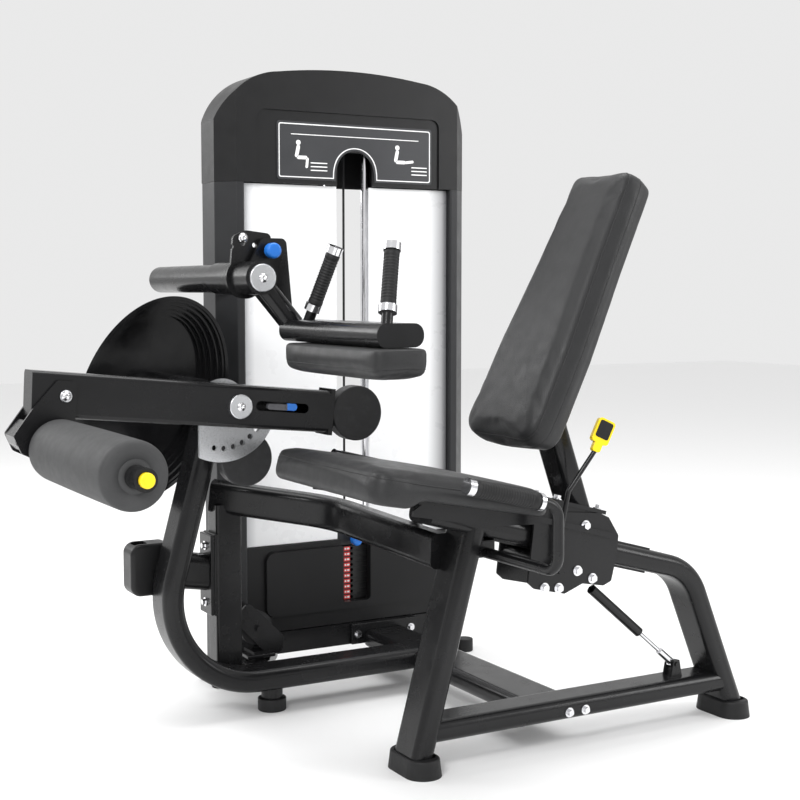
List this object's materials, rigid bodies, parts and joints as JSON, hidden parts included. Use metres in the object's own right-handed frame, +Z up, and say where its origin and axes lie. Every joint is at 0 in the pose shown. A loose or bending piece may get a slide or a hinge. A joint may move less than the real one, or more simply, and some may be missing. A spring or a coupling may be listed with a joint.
{
  "type": "leg extension machine",
  "caption": "Seated leg curl and extension machine: padded seat and sliding back on a sloping rail, thigh clamp, roller arm with cam, and a weight-stack tower.",
  "frame": {"origin": "centre of the bounding box's footprint, on the floor", "axes": "+X runs back along the seat from the roller to the rear leg, +Y from the user's seat across to the weight tower, +Z up"},
  "size_m": [1.5978, 1.147, 1.513],
  "materials": {
    "frame_black": "satin powder coat",
    "tower_grey": "satin powder coat",
    "hood_plastic": "moulded, satin",
    "cam_gloss": "glossy moulding",
    "counterweight": "painted matt",
    "frosted_panel": "frosted sheet",
    "plate_iron": "painted matt",
    "chrome": "polished",
    "brushed_metal": "brushed",
    "grip_rubber": "ribbed, matt",
    "upholstery": "fine-grained synthetic leather",
    "roller_foam": "matt foam skin",
    "yellow_plastic": "moulded",
    "blue_plastic": "moulded",
    "pulley_nylon": "nylon",
    "cable_black": "sheathed steel cable",
    "gas_black": "gloss enamel"
  },
  "bodies": {
    "frame": {"front_leg": "frame_black", "seat_rail": "frame_black", "crossbar": "frame_black", "link_beam": "frame_black", "transverse_beam": "frame_black", "c_frame_tube": "frame_black", "rubber_feet": "grip_rubber", "upright_post": "frame_black", "outrigger": "frame_black", "pulley_housing": "hood_plastic", "pivot_housing": "frame_black", "rear_tie": "frame_black", "tower_sides": "tower_grey", "tower_base": "frame_black", "tower_hood": "hood_plastic", "hood_panel": "hood_plastic", "shroud_panels": "frosted_panel", "lower_cover": "hood_plastic", "rear_cover": "hood_plastic", "guide_rods": "chrome", "fixed_plates": "plate_iron", "top_carrier": "frame_black", "thigh_tube": "frame_black", "thigh_sector": "frame_black", "seat_pad": "upholstery", "seat_pan": "frame_black", "seat_handles": "frame_black", "handle_grips": "grip_rubber", "handle_collars": "chrome", "frame_bolts": "chrome"},
    "leg_arm": {"leg_arm": "frame_black", "pivot_shaft": "frame_black", "pivot_cap": "brushed_metal", "arm_counterweight": "counterweight", "cam": "cam_gloss", "sector_plate": "brushed_metal", "cam_counterweight": "counterweight", "roller_yoke": "frame_black"},
    "arm_lever": {"arm_lever": "blue_plastic"},
    "roller": {"foam_roller": "roller_foam"},
    "button": {"roller_button": "yellow_plastic"},
    "thigh_clamp": {"thigh_arm": "frame_black", "thigh_cap": "brushed_metal", "thigh_carrier": "frame_black", "thigh_pad": "upholstery", "thigh_grips": "grip_rubber", "thigh_collars": "chrome"},
    "thigh_pin": {"thigh_pin": "blue_plastic"},
    "stack": {"lifted_plate": "plate_iron", "stack_cable": "cable_black"},
    "selector": {"selector_pin": "blue_plastic"},
    "top_pulley": {"top_pulley": "pulley_nylon"},
    "tie_pulley": {"tie_pulley": "pulley_nylon"},
    "back": {"back_carriage": "frame_black", "back_pad": "upholstery", "carriage_bolts": "chrome"},
    "back_lever": {"back_lever": "frame_black", "lever_paddle": "yellow_plastic"},
    "gas_rod": {"gas_rod": "chrome"},
    "gas_cylinder": {"gas_cylinder": "gas_black"}
  },
  "joints": [
    {"name": "leg_swing", "type": "hinge", "parent": "frame", "child": "leg_arm", "pos_m": [-0.33807, 0, 0.735], "axis": [0, -1, 0], "range_deg": [0, 48]},
    {"name": "arm_lever_pull", "type": "slide", "parent": "leg_arm", "child": "arm_lever", "axis": [0.9952, 0, -0.0976], "range_m": [0, 0.024], "stiffness_N_per_m": 300, "springref_m": -0.02},
    {"name": "roller_spin", "type": "hinge", "parent": "leg_arm", "child": "roller", "pos_m": [-0.71807, 0, 0.669], "axis": [0, 1, 0], "continuous": true},
    {"name": "button_press", "type": "slide", "parent": "leg_arm", "child": "button", "axis": [0, 1, 0], "range_m": [0, 0.005], "stiffness_N_per_m": 600, "springref_m": -0.004},
    {"name": "thigh_swing", "type": "hinge", "parent": "frame", "child": "thigh_clamp", "pos_m": [-0.31307, 0, 0.996], "axis": [0, -1, 0], "range_deg": [-10, 60]},
    {"name": "thigh_pin_pull", "type": "slide", "parent": "thigh_clamp", "child": "thigh_pin", "axis": [0, -1, 0], "range_m": [0, 0.014], "stiffness_N_per_m": 500, "springref_m": -0.01},
    {"name": "stack_lift", "type": "slide", "parent": "frame", "child": "stack", "axis": [0, 0, 1], "range_m": [0, 0.215], "deforming": ["stack_cable"]},
    {"name": "selector_pull", "type": "slide", "parent": "stack", "child": "selector", "axis": [0, -1, 0], "range_m": [0, 0.07]},
    {"name": "top_pulley_spin", "type": "hinge", "parent": "frame", "child": "top_pulley", "pos_m": [0.14293, 0, 1.424], "axis": [0, -1, 0], "range_deg": [0, 245]},
    {"name": "tie_pulley_spin", "type": "hinge", "parent": "frame", "child": "tie_pulley", "pos_m": [-0.13807, 0, 0.172], "axis": [0, -1, 0], "range_deg": [0, 305]},
    {"name": "back_slide", "type": "slide", "parent": "frame", "child": "back", "axis": [0.9659, 0, -0.2588], "range_m": [-0.06, 0.06]},
    {"name": "back_lever_pull", "type": "hinge", "parent": "back", "child": "back_lever", "pos_m": [0.23693, 0, 0.399], "axis": [0, -1, 0], "range_deg": [0, 12], "stiffness_Nm_per_rad": 5, "springref_deg": -11.46},
    {"name": "gas_rod_swing", "type": "hinge", "parent": "frame", "child": "gas_rod", "pos_m": [0.60693, 0, 0.134], "axis": [0, 1, 0], "range_deg": [-5, 5]},
    {"name": "gas_stroke", "type": "slide", "parent": "gas_rod", "child": "gas_cylinder", "axis": [-0.7659, 0, 0.643], "range_m": [-0.056, 0.056]}
  ],
  "couplings": [
    {"joint": "stack_lift", "follows": "leg_swing", "m_per_rad": 0.25},
    {"joint": "top_pulley_spin", "follows": "leg_swing", "ratio": 5},
    {"joint": "tie_pulley_spin", "follows": "leg_swing", "ratio": 6.25},
    {"joint": "gas_rod_swing", "follows": "back_slide", "rad_per_m": 1.333},
    {"joint": "gas_stroke", "follows": "back_slide", "ratio": -0.906}
  ]
}
